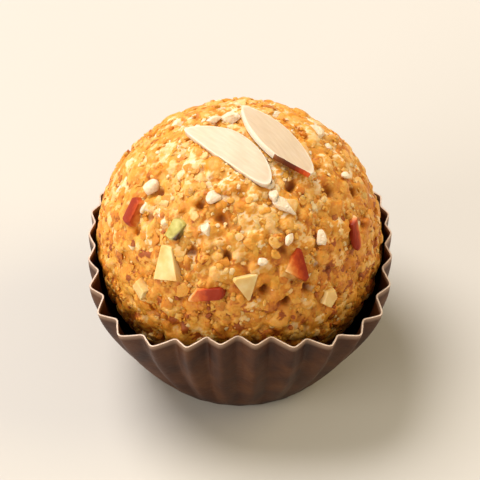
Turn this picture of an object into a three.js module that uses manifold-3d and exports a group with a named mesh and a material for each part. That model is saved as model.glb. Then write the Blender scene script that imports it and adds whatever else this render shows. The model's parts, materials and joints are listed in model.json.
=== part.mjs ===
// A makhana almond ladoo: a hand-rolled ball of crushed puffed lotus seeds, jaggery and chopped nuts, with
// two slices of almond pressed into its top, standing in the pleated paper case that it is served in.
// Millimetres, +Z up. The origin is under the middle of the case, on the surface that it stands on, and the
// side with the slices looks to -Y.
import * as THREE from "three";
import { ConvexGeometry } from "three/addons/geometries/ConvexGeometry.js";
import { mergeVertices } from "three/addons/utils/BufferGeometryUtils.js";
import Module from "manifold-3d";

const { clamp, degToRad, lerp, smoothstep } = THREE.MathUtils;

// ---- Driving dimensions ----
const TOUCH_GAP = 0.3; // left between two pieces that touch

const BALL_RADIUS = 20; // a ladoo of 40 mm, to the tops of its crumbs
const BALL_SQUAT = 0.98; // its height for its width
const BALL_FLAT = 7; // radius of the flat that it rests on
const BALL_DETAIL = 16; // how often each edge of the starting icosahedron is split
const ROLLED_UNEVEN = 0.22; // how far the palm leaves it off round
const CRAG_SPACING = 3.6; // from one crag of the crumb to the next
const CRAG_DEPTH = 1.1; // from the highest crag's top to the bottom of a gap
const GAP_WIDTH = 1.5; // of the gap between two crags, from shoulder to shoulder

const CASE_BASE = 14; // radius of the case's flat bottom
const CASE_HEIGHT = 20.2; // up to the rim, in the middle of a side
const CASE_FRONT = 21.1; // from the axis to the middle of the front, at the rim
const CASE_SIDE = 20.6; // the same to the left and the right, where the ball fills the case
const FRONT_SQUARENESS = 3.1; // exponent of the rim's rounded square in front: 2 would be an oval
const BACK_SQUARENESS = 2.2; // the same behind, where the rim keeps close to the ball
const CASE_CORNER_DIP = 2.2; // how much lower the rim is at its four corners
const CASE_HUG = 1.8; // how early the wall swells to the ball: 1 would be a straight cone
const CORNER_HUG = 1.25; // the same in the front corners, where nothing presses on it
const PAPER = 0.36; // the pleated paper with the air that its folds trap
const PLEATS = 30;
const OPEN_PLEAT_DEPTH = 0.9; // half of a pleat's depth at the rim, in front, where the pleats stand open
const PRESSED_PLEAT_DEPTH = 0.4; // the same at the sides and behind, where the ball presses on them
const PLEAT_GROWTH = 0.7; // exponent of the way that the pleats deepen up the wall
const STEPS_PER_PLEAT = 4;
const WALL_ROWS = 5;

const SLICE_THICKNESS = 0.9;
const SLICE_BEND = 40; // radius that a slice is bent to, along its length
const SLICE_POINTS = 32; // round its outline
const SLICE_TAPER = 0.45; // how much it narrows to its point, over what an ellipse does
const SLICE_SUNK = 0.2; // how far the middle of a slice is pressed into the ball

// The ball is laid out as it is seen from the front and this far above the level: a place on it is a
// distance to the right of its middle (across) and one above its middle (up), in that view.
const VIEW_TILT = degToRad(44);

// The two almond slices, each from its point to its blunt end, with its middle width. bow is how far its
// middle bulges to the upper side, cut the part of its half length that a slanting cut takes off its lower
// side, lift how high the blunt end stands off the ball, and roll how high its lower side does.
const SLICES = {
  almond_slice_left: {
    from: [-7.5, 14.9],
    to: [4.0, 7.4],
    width: 4.8,
    bow: 1.2,
    cut: 0,
    lift: 0,
    roll: 0,
  },
  almond_slice_right: {
    from: [0.3, 17.9],
    to: [9.2, 8.0],
    width: 5.6,
    bow: -0.5,
    cut: 0.62,
    lift: 0.7,
    roll: 0.5,
  },
};

// The chopped nuts that show on the front: place, size along and across, and the turn of the long side
// from level, counterclockwise.
const FRONT_BITS = [
  { kind: "almond", across: -14.9, up: 3.8, long: 4.2, wide: 2.2, turn: 65 },
  { kind: "almond", across: -4.7, up: -7.7, long: 5.6, wide: 2.2, turn: 12 },
  { kind: "almond", across: 7.8, up: -4.0, long: 5.4, wide: 2.9, turn: 110 },
  { kind: "almond", across: 15.9, up: 0.7, long: 4.8, wide: 1.7, turn: 105 },
  { kind: "cashew", across: -10.2, up: -3.5, long: 5.8, wide: 3.9, turn: 85 },
  { kind: "cashew", across: -13.7, up: -7.1, long: 3.4, wide: 2.6, turn: 120 },
  { kind: "cashew", across: 0.9, up: -6.8, long: 4.2, wide: 3.6, turn: 100 },
  { kind: "cashew", across: 12.4, up: -8.2, long: 4.4, wide: 3.4, turn: 30 },
  { kind: "pistachio", across: -8.8, up: 1.3, long: 2.9, wide: 2.1, turn: 80 },
  { kind: "makhana", across: -12.4, up: 7.4, long: 2.4, wide: 2.2, turn: 40 },
  { kind: "makhana", across: -3.7, up: 5.9, long: 2.2, wide: 1.9, turn: 20 },
  { kind: "makhana", across: 6.2, up: 4.6, long: 3.8, wide: 1.8, turn: 145 },
  { kind: "makhana", across: -1.4, up: 17.1, long: 3.0, wide: 2.2, turn: 170 },
  { kind: "makhana", across: 10.6, up: 15.2, long: 2.6, wide: 2.2, turn: 140 },
];

// The chopped nuts over the rest of the ball: how many places are laid out over the whole of it, the kinds
// in turn, and each kind's usual size along and across. No red skin or green shows on the ball's outline as
// it is seen from the front, so the bits there are pale.
const SPREAD_BITS = 70;
const FRONT_ANGLE = degToRad(68); // from the middle of the front to the first of these bits
const OUTLINE_ANGLE = degToRad(102); // the same to the first one that can't be seen on the outline
const KINDS = ["cashew", "almond", "makhana", "cashew", "almond", "makhana", "almond", "cashew", "pistachio"];
const PALE_KINDS = ["cashew", "makhana"];
const SIZES = { cashew: [4.6, 3.7], almond: [5, 2.7], makhana: [3, 2.4], pistachio: [3.2, 2.5] };
const BIT_PROUD = 0.35; // how far a bit stands out of the ball
const BIT_FLATNESS = 0.9; // its thickness for its width
const BIT_CORNERS = 16;

const LADOO_GOLD = 0xd89f55;
const ALMOND_CREAM = 0xfbe5c4;
const GLASSINE_BROWN = 0x4e3322;

// ---- What follows from them ----
const FULL_TURN = 2 * Math.PI;
const GOLDEN_ANGLE = Math.PI * (3 - Math.sqrt(5));
const FLAT_DROP = BALL_RADIUS * BALL_SQUAT * Math.sqrt(1 - (BALL_FLAT / BALL_RADIUS) ** 2);
const BALL_MIDDLE = PAPER + TOUCH_GAP + FLAT_DROP; // height of the ball's middle

// A number between 0 and 1, the same for the same n on every run.
function draw(n) {
  const s = Math.sin(n * 12.9898) * 43758.5453;
  return s - Math.floor(s);
}

// Directions spread evenly over a sphere, each moved by up to a part of the distance between them.
function spreadDirections(count, stray, seed) {
  const reach = stray * Math.sqrt((4 * Math.PI) / count);
  return Array.from({ length: count }, (_, i) => {
    const z = 1 - (2 * i + 1) / count;
    const r = Math.sqrt(1 - z * z);
    const angle = i * GOLDEN_ANGLE;
    const [dx, dy, dz] = [1, 2, 3].map((k) => (draw(seed + 3 * i + k) - 0.5) * reach);
    return new THREE.Vector3(r * Math.cos(angle) + dx, r * Math.sin(angle) + dy, z + dz).normalize();
  });
}

// One closed body from rings of points that all turn the same way: a fan closes the first and the last.
function skin(rings) {
  const around = rings[0].length;
  const middle = (ring) => ring.reduce((sum, p) => sum.add(p), new THREE.Vector3()).divideScalar(around);
  const points = [middle(rings[0]), ...rings.flat(), middle(rings.at(-1))];
  const at = (ring, i) => 1 + ring * around + (i % around);
  const faces = [];
  for (let i = 0; i < around; i++) {
    faces.push(0, at(0, i), at(0, i + 1));
    for (let ring = 0; ring + 1 < rings.length; ring++) {
      faces.push(at(ring, i), at(ring + 1, i), at(ring + 1, i + 1));
      faces.push(at(ring, i), at(ring + 1, i + 1), at(ring, i + 1));
    }
    faces.push(points.length - 1, at(rings.length - 1, i + 1), at(rings.length - 1, i));
  }
  return new THREE.BufferGeometry().setFromPoints(points).setIndex(faces);
}

// ---- The paper case ----
// How far the case stands open at an angle, from 1 all along the front to 0 at the sides and behind.
function openness(angle) {
  return smoothstep(-Math.sin(angle), 0, 0.6);
}

// The distance from the axis to the rim: an oval with corners, which are stronger in front.
function rimReach(angle) {
  const power = lerp(BACK_SQUARENESS, FRONT_SQUARENESS, openness(angle));
  const sideways = Math.abs(Math.cos(angle)) / CASE_SIDE;
  const forwards = Math.abs(Math.sin(angle)) / CASE_FRONT;
  return (sideways ** power + forwards ** power) ** (-1 / power);
}

// The wall at an angle and a part of the way up: its middle radius, its height and the depth of its pleats.
function wallAt(angle, part) {
  const corner = Math.sin(2 * angle) ** 2;
  const open = openness(angle);
  const hug = lerp(CASE_HUG, CORNER_HUG, corner * open);
  return {
    radius: lerp(CASE_BASE, rimReach(angle), 1 - (1 - part) ** hug),
    height: lerp(PAPER, CASE_HEIGHT - CASE_CORNER_DIP * corner, part),
    pleat: lerp(PRESSED_PLEAT_DEPTH, OPEN_PLEAT_DEPTH, open) * part ** PLEAT_GROWTH,
  };
}

// The case's skin runs from the middle of the floor up the inside, over the rim and down the outside.
function paperCase() {
  const columns = PLEATS * STEPS_PER_PLEAT;
  const ringAt = (part, side) =>
    Array.from({ length: columns }, (_, i) => {
      const angle = (i / columns) * FULL_TURN;
      const wall = wallAt(angle, part);
      const radius = wall.radius + wall.pleat * Math.cos(PLEATS * angle) + (side * PAPER) / 2;
      const height = part === 0 && side > 0 ? 0 : wall.height;
      return new THREE.Vector3(radius * Math.cos(angle), radius * Math.sin(angle), height);
    });
  const parts = Array.from({ length: WALL_ROWS + 1 }, (_, row) => row / WALL_ROWS);
  const inside = parts.map((part) => ringAt(part, -1));
  const outside = parts.map((part) => ringAt(part, 1)).reverse();
  return skin([...inside, ...outside]);
}

// Pulls a point of the ladoo in towards the axis where it would come too near to the case.
function keepInCase(p) {
  const angle = Math.atan2(p.y, p.x);
  const rim = wallAt(angle, 1).height;
  if (p.z > rim + TOUCH_GAP) return;
  const wall = wallAt(angle, clamp((p.z - PAPER) / (rim - PAPER), 0, 1));
  const room = wall.radius - wall.pleat - PAPER / 2 - TOUCH_GAP;
  const pull = Math.min(1, room / Math.hypot(p.x, p.y));
  p.x *= pull;
  p.y *= pull;
}

// ---- The ball ----
// The direction from the ball's middle to a place that is given as it is seen from the front.
function directionTo(across, up) {
  const [u, v] = [across / BALL_RADIUS, up / BALL_RADIUS];
  const w = Math.sqrt(Math.max(0, 1 - u * u - v * v));
  const [sin, cos] = [Math.sin(VIEW_TILT), Math.cos(VIEW_TILT)];
  return new THREE.Vector3(u, v * sin - w * cos, v * cos + w * sin);
}

const TO_VIEWER = directionTo(0, 0);
const CRAG_COUNT = Math.round((4 * Math.PI * BALL_RADIUS ** 2) / CRAG_SPACING ** 2);
const CRAGS = spreadDirections(CRAG_COUNT, 0.8, 11);
const CRAG_HEIGHTS = CRAGS.map((_, i) => lerp(0.5, 1, draw(5000 + i)));

// The crumb at a direction, from 0 in a gap to 1 on the highest crag. A crag is the ground nearest to its own
// point, with its own height, and it falls off towards the gap that it shares with the next one.
function crumb(d) {
  let [nearest, second, height] = [Infinity, Infinity, 0];
  CRAGS.forEach((point, i) => {
    const away = d.distanceTo(point) * BALL_RADIUS;
    if (away < nearest) [nearest, second, height] = [away, nearest, CRAG_HEIGHTS[i]];
    else if (away < second) second = away;
  });
  return height * smoothstep(second - nearest, 0, GAP_WIDTH);
}

// The distance from the ball's middle to its skin: the swells that the palm left, and the crumb.
function skinRadius(d) {
  const swell = Math.sin(3.1 * d.x + 1.7 * d.z + 0.6) * Math.cos(2.7 * d.y - 1.9 * d.z + 0.4);
  return BALL_RADIUS - ROLLED_UNEVEN * (1 + swell) - CRAG_DEPTH * (1 - crumb(d));
}

function ballCore() {
  const ball = new THREE.IcosahedronGeometry(1, BALL_DETAIL);
  const position = ball.getAttribute("position");
  const p = new THREE.Vector3();
  for (let i = 0; i < position.count; i++) {
    p.fromBufferAttribute(position, i).normalize();
    p.multiplyScalar(skinRadius(p));
    p.z = Math.max(p.z * BALL_SQUAT, -FLAT_DROP) + BALL_MIDDLE;
    keepInCase(p);
    position.setXYZ(i, p.x, p.y, p.z);
  }
  return ball;
}

// One chopped bit of nut: the hull of corners spread over a flattened ball, sunk into the crumb. Its long
// side is turned from level as it is seen from the front.
function nutBit(direction, turn, long, wide, seed) {
  const level = new THREE.Vector3(1, 0, 0);
  const upright = TO_VIEWER.clone().cross(level);
  const x = level.multiplyScalar(Math.cos(turn)).addScaledVector(upright, Math.sin(turn));
  x.addScaledVector(direction, -x.dot(direction)).normalize();
  const frame = new THREE.Matrix4().makeBasis(x, direction.clone().cross(x), direction);
  const thick = wide * BIT_FLATNESS;
  const size = new THREE.Vector3(long / 2, wide / 2, thick / 2);
  const corners = spreadDirections(BIT_CORNERS, 0.5, seed).map((corner) => {
    const p = corner.multiply(size);
    p.z += BALL_RADIUS + BIT_PROUD - thick / 2;
    p.applyMatrix4(frame);
    p.z = p.z * BALL_SQUAT + BALL_MIDDLE;
    keepInCase(p);
    return p;
  });
  return new ConvexGeometry(corners);
}

function frontBits() {
  return FRONT_BITS.map((bit, i) =>
    nutBit(directionTo(bit.across, bit.up), degToRad(bit.turn), bit.long, bit.wide, 700 + 50 * i),
  );
}

// The other bits keep above the rim, and clear of the front, which has its own.
function otherBits() {
  const bits = [];
  spreadDirections(SPREAD_BITS, 0.5, 300).forEach((d, i) => {
    const height = BALL_MIDDLE + d.z * BALL_RADIUS * BALL_SQUAT;
    const fromFront = d.angleTo(TO_VIEWER);
    if (height < CASE_HEIGHT + 1 || fromFront < FRONT_ANGLE) return;
    const kinds = fromFront < OUTLINE_ANGLE ? PALE_KINDS : KINDS;
    const [long, wide] = SIZES[kinds[i % kinds.length]];
    const scale = lerp(0.8, 1.3, draw(900 + i));
    bits.push(nutBit(d, draw(950 + i) * Math.PI, long * scale, wide * scale, 1500 + 50 * i));
  });
  return bits;
}

// ---- The almond slices ----
// A slice lies along x, from its point at -x to its blunt end, and is bent down to the ball at both ends.
// grow widens its outline all round, and below and above are the heights of its two faces.
function almondSlice(slice, grow, below, above) {
  const half = placeOf(slice).length / 2 + grow;
  const halfWidth = slice.width / 2 + grow;
  const outline = Array.from({ length: SLICE_POINTS }, (_, i) => {
    const angle = (i / SLICE_POINTS) * FULL_TURN;
    const y = Math.sin(angle) * (1 - SLICE_TAPER * Math.max(0, -Math.cos(angle)) ** 2);
    const x = Math.min(Math.cos(angle), 1 + slice.cut * Math.min(0, y));
    return [x * half, y * halfWidth + slice.bow * (1 - x * x)];
  });
  const ringAt = (size, z) =>
    outline.map(([x, y]) => new THREE.Vector3(x * size, y * size, z - (x * size) ** 2 / (2 * SLICE_BEND)));
  return skin([ringAt(0.55, above), ringAt(1, above), ringAt(1, below), ringAt(0.55, below)]);
}

// Where a slice lies: its middle is half way between its two ends, and its x runs from one to the other.
function placeOf(slice) {
  const [from, to] = [slice.from, slice.to].map(([across, up]) => directionTo(across, up));
  const length = from.distanceTo(to) * BALL_RADIUS;
  const out = from.clone().add(to).normalize();
  const along = to.clone().sub(from).normalize();
  const matrix = new THREE.Matrix4().makeBasis(along, out.clone().cross(along), out);
  matrix.multiply(new THREE.Matrix4().makeRotationY(-Math.asin(slice.lift / length)));
  matrix.multiply(new THREE.Matrix4().makeRotationX(-Math.asin(slice.roll / slice.width)));
  const raised = (slice.lift + slice.roll) / 2 - SLICE_SUNK;
  const middle = out.multiplyScalar(BALL_RADIUS - SLICE_THICKNESS / 2 + raised);
  middle.z = middle.z * BALL_SQUAT + BALL_MIDDLE;
  return { length, matrix: matrix.setPosition(middle) };
}

// The seat that a slice leaves in the crumb, open above it.
function seatOf(slice) {
  const below = -SLICE_THICKNESS / 2 - TOUCH_GAP;
  const above = 3 * SLICE_THICKNESS;
  return almondSlice(slice, TOUCH_GAP, below, above).applyMatrix4(placeOf(slice).matrix);
}

// ---- Joining and cutting ----
const wasm = await Module();
wasm.setup();

function solid(geometry) {
  const bare = new THREE.BufferGeometry();
  bare.setAttribute("position", geometry.getAttribute("position"));
  bare.setIndex(geometry.index);
  const merged = mergeVertices(bare, 1e-4);
  const vertProperties = merged.getAttribute("position").array;
  const triVerts = new Uint32Array(merged.index.array);
  return new wasm.Manifold(new wasm.Mesh({ numProp: 3, vertProperties, triVerts }));
}

function geometryOf(body) {
  const { vertProperties, triVerts } = body.getMesh();
  const geometry = new THREE.BufferGeometry();
  geometry.setAttribute("position", new THREE.BufferAttribute(vertProperties, 3));
  return geometry.setIndex(new THREE.BufferAttribute(triVerts, 1));
}

function ladooGeometry() {
  let body = solid(ballCore());
  for (const bit of [...frontBits(), ...otherBits()]) body = body.add(solid(bit));
  for (const slice of Object.values(SLICES)) body = body.subtract(solid(seatOf(slice)));
  return geometryOf(body);
}

// ---- The object ----
function piece(name, geometry, color, roughness) {
  const mesh = new THREE.Mesh(geometry, new THREE.MeshStandardMaterial({ color, roughness, metalness: 0 }));
  mesh.name = name;
  return mesh;
}

const sweet = new THREE.Group();
sweet.add(piece("ladoo", ladooGeometry(), LADOO_GOLD, 0.55));
for (const [name, slice] of Object.entries(SLICES)) {
  const body = almondSlice(slice, 0, -SLICE_THICKNESS / 2, SLICE_THICKNESS / 2);
  const almond = piece(name, body, ALMOND_CREAM, 0.5);
  almond.applyMatrix4(placeOf(slice).matrix);
  sweet.add(almond);
}
sweet.add(piece("paper_case", paperCase(), GLASSINE_BROWN, 0.4));

export default sweet;
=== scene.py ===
# %% [markdown]
# # A makhana almond ladoo in its paper case
#
# The real thing is a ball of crushed puffed lotus seed, jaggery, ghee and chopped nuts, pressed together in
# the palm of a hand, with two slices of almond on top. It is served in a pleated case of brown glassine
# paper. The CAD solids hold its sizes; here each of them is replaced by the real matter: thousands of crumbs,
# the chopped nuts, the cut almonds and the folded paper.
#
# Loading the frame comes first.

# %% Load the imported model
import json
import math

import bpy
import numpy as np
from mathutils import Matrix, Vector
from mathutils.kdtree import KDTree

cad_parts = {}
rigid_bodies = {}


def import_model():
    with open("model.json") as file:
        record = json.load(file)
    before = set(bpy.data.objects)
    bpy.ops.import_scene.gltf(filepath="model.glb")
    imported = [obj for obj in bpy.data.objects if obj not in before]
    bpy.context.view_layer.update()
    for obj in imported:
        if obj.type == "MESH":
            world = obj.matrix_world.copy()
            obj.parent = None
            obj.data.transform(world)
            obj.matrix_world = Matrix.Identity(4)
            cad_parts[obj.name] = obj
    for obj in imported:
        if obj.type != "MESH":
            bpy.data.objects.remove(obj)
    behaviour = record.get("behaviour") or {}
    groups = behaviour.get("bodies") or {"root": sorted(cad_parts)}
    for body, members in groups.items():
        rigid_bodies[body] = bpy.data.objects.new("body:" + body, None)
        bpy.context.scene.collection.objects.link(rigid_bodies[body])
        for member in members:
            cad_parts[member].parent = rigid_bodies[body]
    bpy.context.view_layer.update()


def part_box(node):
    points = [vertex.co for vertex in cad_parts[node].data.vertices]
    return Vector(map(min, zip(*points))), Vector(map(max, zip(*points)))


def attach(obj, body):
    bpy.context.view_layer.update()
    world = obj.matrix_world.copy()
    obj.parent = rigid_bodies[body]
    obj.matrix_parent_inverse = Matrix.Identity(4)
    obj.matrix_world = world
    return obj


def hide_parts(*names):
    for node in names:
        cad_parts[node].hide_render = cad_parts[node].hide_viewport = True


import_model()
MM = 0.001

# %% [markdown]
# ## Sizes
#
# These are the driving dimensions of the solids, in millimetres. The height of the ball's middle isn't
# written down: it follows from the lowest point of its solid, which is the flat that it rests on. The rim of
# the case is read from its solid too. How far up the case goes at the sides and behind is a guess, because
# the photograph shows it only in front.

# %% The driving dimensions
BALL_RADIUS = 20.0
BALL_SQUAT = 0.98
BALL_FLAT = 7.0
FLAT_DROP = BALL_RADIUS * BALL_SQUAT * math.sqrt(1 - (BALL_FLAT / BALL_RADIUS) ** 2)
BALL_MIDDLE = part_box("ladoo")[0].z / MM + FLAT_DROP

CASE_BASE = 14.0
CASE_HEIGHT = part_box("paper_case")[1].z / MM
CASE_FRONT = 21.1
CASE_SIDE = 20.6
FRONT_SQUARENESS = 3.1
BACK_SQUARENESS = 2.2
CASE_CORNER_DIP = 2.2
CASE_HUG = 1.8
CORNER_HUG = 1.25
PLEATS = 30
OPEN_PLEAT_DEPTH = 0.9
PRESSED_PLEAT_DEPTH = 0.4
PLEAT_GROWTH = 0.7

SLICE_THICKNESS = 0.9
SLICE_BEND = 40.0
SLICE_TAPER = 0.45
SLICE_SUNK = 0.2
SLICES = {
    "almond_slice_left": {
        "start": (-7.5, 14.9), "end": (4.0, 7.4), "width": 4.8, "bow": 1.2, "cut": 0.0,
        "lift": 0.0, "roll": 0.0,
    },
    "almond_slice_right": {
        "start": (0.3, 17.9), "end": (9.2, 8.0), "width": 5.6, "bow": -0.5, "cut": 0.62,
        "lift": 0.7, "roll": 0.5,
    },
}
print("middle of the ball at", round(BALL_MIDDLE, 2), "mm, rim of the case at", round(CASE_HEIGHT, 2), "mm")

# %% [markdown]
# ## Places on the ball
#
# The ball is laid out as it is seen from the front, 44 degrees above the level: a place is a distance to the
# right of the middle and one above it, in that view. One function turns this into a direction from the
# ball's middle. Another spreads any number of directions over a sphere along a golden-angle spiral, and lets
# each stray a little, because that is how nuts come to lie in a mixture that is stirred well.

# %% Directions from the ball's middle
VIEW_TILT = math.radians(44)
GOLDEN_ANGLE = math.pi * (3 - math.sqrt(5))


def direction_to(across, up):
    u = across / BALL_RADIUS
    v = up / BALL_RADIUS
    w = math.sqrt(max(0.0, 1 - u * u - v * v))
    s = math.sin(VIEW_TILT)
    c = math.cos(VIEW_TILT)
    return Vector((u, v * s - w * c, v * c + w * s))


def draw(n):
    """A number between 0 and 1, the same for the same n on every run."""
    s = np.sin(np.asarray(n, dtype=float) * 12.9898) * 43758.5453
    return s - np.floor(s)


def spread_directions(count, stray, seed):
    i = np.arange(count)
    z = 1 - (2 * i + 1) / count
    r = np.sqrt(1 - z * z)
    evenly = np.stack([r * np.cos(i * GOLDEN_ANGLE), r * np.sin(i * GOLDEN_ANGLE), z], axis=1)
    strays = np.stack([draw(seed + 3 * i + k) - 0.5 for k in (1, 2, 3)], axis=1)
    spread_out = evenly + strays * stray * math.sqrt(4 * math.pi / count)
    return spread_out / np.linalg.norm(spread_out, axis=1, keepdims=True)


TO_VIEWER = direction_to(0, 0)
LEVEL = Vector((1, 0, 0))
UPRIGHT = TO_VIEWER.cross(LEVEL)


def turned_from_level(turn):
    """The direction across the view that is turned up from level by an angle."""
    return LEVEL * math.cos(turn) + UPRIGHT * math.sin(turn)


print("the viewer looks from", [round(x, 3) for x in TO_VIEWER])

# %% [markdown]
# ## The paper case as a formula
#
# Everything has to know where the paper is: the case itself, and each crumb that must not poke through it.
# The ball fills the case at the sides and behind, and presses the pleats there. In front the paper stands
# open: the rim has corners there, and deeper pleats. It is lower at all four corners, where the same length
# of paper leans further out.

# %% The wall of the case
FULLY_OPEN = 0.6  # sine of the angle in front from which the case stands fully open


def openness(angle):
    """How far the case stands open at an angle: 1 all along the front, 0 at the sides and behind."""
    t = np.clip(-np.sin(angle) / FULLY_OPEN, 0, 1)
    return t * t * (3 - 2 * t)


def rim_reach(angle):
    """The distance in mm from the axis to the rim: an oval with corners, which are stronger in front."""
    power = BACK_SQUARENESS + (FRONT_SQUARENESS - BACK_SQUARENESS) * openness(angle)
    sideways = np.abs(np.cos(angle)) / CASE_SIDE
    forwards = np.abs(np.sin(angle)) / CASE_FRONT
    return (sideways**power + forwards**power) ** (-1 / power)


def wall_at(angle, part):
    """The wall's middle radius, height and pleat depth in mm, at an angle and a part of the way up."""
    corner = np.sin(2 * angle) ** 2
    open_here = openness(angle)
    hug = CASE_HUG + (CORNER_HUG - CASE_HUG) * corner * open_here
    radius = CASE_BASE + (rim_reach(angle) - CASE_BASE) * (1 - (1 - part) ** hug)
    height = part * (CASE_HEIGHT - CASE_CORNER_DIP * corner)
    pleat = PRESSED_PLEAT_DEPTH + (OPEN_PLEAT_DEPTH - PRESSED_PLEAT_DEPTH) * open_here
    return radius, height, pleat * part**PLEAT_GROWTH


def kept_in_case(points, gap):
    """Pulls points (mm) in towards the axis where they come nearer to the case than the gap."""
    angle = np.arctan2(points[:, 1], points[:, 0])
    rim = wall_at(angle, 1.0)[1]
    radius, _, pleat = wall_at(angle, np.clip(points[:, 2] / rim, 0, 1))
    room = np.where(points[:, 2] > rim + gap, np.inf, radius - pleat - gap)
    pull = np.minimum(1, room / np.maximum(np.hypot(points[:, 0], points[:, 1]), 1e-6))
    kept = points.copy()
    kept[:, :2] *= pull[:, None]
    return kept


print("rim from side to side:", round(2 * wall_at(0.0, 1.0)[0], 1), "mm")

# %% [markdown]
# ## Camera, floor and light
#
# A camera 44 degrees above the level, far off with a long lens, sees the sweet as the photograph does. The
# light is a large soft box above and behind the left shoulder of the sweet. Two weaker, warmer ones from the
# left and the right lift the shadows, so that the crumb is modelled by light from one side but nothing goes
# black.


# %% Camera
def new_object(name, data):
    thing = bpy.data.objects.new(name, data)
    bpy.context.collection.objects.link(thing)
    return thing


FOCUS_HEIGHT = 18.6
CAMERA_DISTANCE = 741.0
LENS = 400.0

camera_data = bpy.data.cameras.new("camera")
camera_data.lens = LENS
camera_data.clip_start = 0.01
camera = new_object("camera", camera_data)
camera.location = Vector((0, 0, FOCUS_HEIGHT * MM)) + TO_VIEWER * CAMERA_DISTANCE * MM
camera.rotation_euler = TO_VIEWER.to_track_quat("Z", "Y").to_euler()
bpy.context.scene.camera = camera
print("the picture is", round(CAMERA_DISTANCE * camera_data.sensor_width / LENS, 1), "mm wide at the sweet")

# %% Soft boxes
LIT_POINT = Vector((0, 0, 0.02))  # what the lights point at, in metres


def soft_box(name, place, size, power, colour):
    light = bpy.data.lights.new(name, "AREA")
    light.shape = "DISK"
    light.size = size
    light.energy = power
    light.color = colour
    lamp = new_object(name, light)
    lamp.location = place
    lamp.rotation_euler = (Vector(place) - LIT_POINT).to_track_quat("Z", "Y").to_euler()


soft_box("key_light", (-0.42, 0.34, 0.85), 0.75, 12.8, (1.0, 0.95, 0.9))
soft_box("left_fill", (-0.85, -0.55, 0.4), 0.8, 6.6, (1.0, 0.94, 0.8))
soft_box("right_fill", (0.85, 0.1, 0.55), 0.7, 4.8, (1.0, 0.83, 0.48))

world = bpy.data.worlds.new("pale_room")
world.use_nodes = True
background = world.node_tree.nodes["Background"].inputs
background["Color"].default_value = (0.95, 0.87, 0.73, 1)
background["Strength"].default_value = 0.32
bpy.context.scene.world = world
bpy.context.scene.view_settings.view_transform = "Standard"

# %% [markdown]
# ## Materials
#
# A colour is picked from a screen, so it is an sRGB value; the renderer works with linear light. One
# function does the conversion, and one adds a node with its settings and links. The short ones are for the
# nodes that most materials here have.


# %% Helpers for materials
def linear(hex_colour):
    channels = [(hex_colour >> shift & 255) / 255 for shift in (16, 8, 0)]
    return [c / 12.92 if c <= 0.04045 else ((c + 0.055) / 1.055) ** 2.4 for c in channels] + [1.0]


def add_node(tree, kind, inputs=None, stops=None, **settings):
    """Adds a node. inputs are values, sockets or nodes, which stand for their first output, by socket name
    or number; stops are the hex colours of a ramp by their position; settings are the node's own fields."""
    node = tree.nodes.new(kind)
    for field, value in settings.items():
        setattr(node, field, value)
    for socket, value in (inputs or {}).items():
        if isinstance(value, bpy.types.Node):
            value = value.outputs[0]
        if isinstance(value, bpy.types.NodeSocket):
            tree.links.new(value, node.inputs[socket])
        else:
            node.inputs[socket].default_value = value
    if stops:
        elements = node.color_ramp.elements
        positions = sorted(stops)
        elements[0].position = positions[0]
        elements[1].position = positions[-1]
        for position in positions[1:-1]:
            elements.new(position)
        for element, position in zip(elements, positions):
            element.color = linear(stops[position])
    return node


def place_on(tree):
    """The place on the object, in metres."""
    return add_node(tree, "ShaderNodeTexCoord").outputs["Object"]


def stored(tree, attribute):
    """A value that is stored on the points of the mesh."""
    return add_node(tree, "ShaderNodeAttribute", attribute_name=attribute).outputs["Fac"]


def noise_at(tree, place, scale, detail, **more):
    return add_node(tree, "ShaderNodeTexNoise", {"Vector": place, "Scale": scale, "Detail": detail, **more})


def ramp_of(tree, factor, stops):
    return add_node(tree, "ShaderNodeValToRGB", {"Fac": factor}, stops)


def ranged(tree, value, low, high, to_low=0.0, to_high=1.0):
    return add_node(tree, "ShaderNodeMapRange", {0: value, 1: low, 2: high, 3: to_low, 4: to_high})


def added(tree, first, second):
    return add_node(tree, "ShaderNodeMath", {0: first, 1: second}, operation="ADD")


def centred(tree, value, width):
    """A value from 0 to 1 as one that is spread this widely about 0."""
    return add_node(tree, "ShaderNodeMath", {0: value, 1: width, 2: -width / 2}, operation="MULTIPLY_ADD")


def blended(tree, factor, colour, other):
    """A colour that turns into another one, a hex colour, with the factor."""
    inputs = {0: factor, 6: colour, 7: linear(other)}
    return add_node(tree, "ShaderNodeMix", inputs, data_type="RGBA").outputs[2]


def relief(tree, height, strength, distance):
    return add_node(tree, "ShaderNodeBump", {"Height": height, "Strength": strength, "Distance": distance})


def scattering(weight, radius, scale):
    """The shader's inputs for light that goes in and comes out again, up to about the scale in metres."""
    return {"Subsurface Weight": weight, "Subsurface Radius": radius, "Subsurface Scale": scale}


def new_material(name):
    material = bpy.data.materials.new(name)
    material.use_nodes = True
    material.node_tree.nodes.clear()
    return material, material.node_tree


def finish_material(tree, inputs):
    """Adds the shader with its inputs, and the output."""
    shader = add_node(tree, "ShaderNodeBsdfPrincipled", inputs)
    add_node(tree, "ShaderNodeOutputMaterial", {"Surface": shader})


# %% [markdown]
# ### The floor
#
# A plain matt board, large enough that its edge is never in the picture.


# %% Floor
def matt_board():
    material, tree = new_material("matt_card")
    colour = ramp_of(tree, noise_at(tree, place_on(tree), 6.0, 2.0), {0.3: 0xC8C4C0, 0.7: 0xCDC9C5})
    finish_material(tree, {"Base Color": colour, "Roughness": 0.85})
    return material


def deselect_all():
    if bpy.context.object and bpy.context.object.mode != "OBJECT":
        bpy.ops.object.mode_set(mode="OBJECT")
    bpy.ops.object.select_all(action="DESELECT")


deselect_all()
bpy.ops.mesh.primitive_plane_add(size=4.0)
floor = bpy.context.object
floor.name = "floor"
floor.data.materials.append(matt_board())
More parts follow.
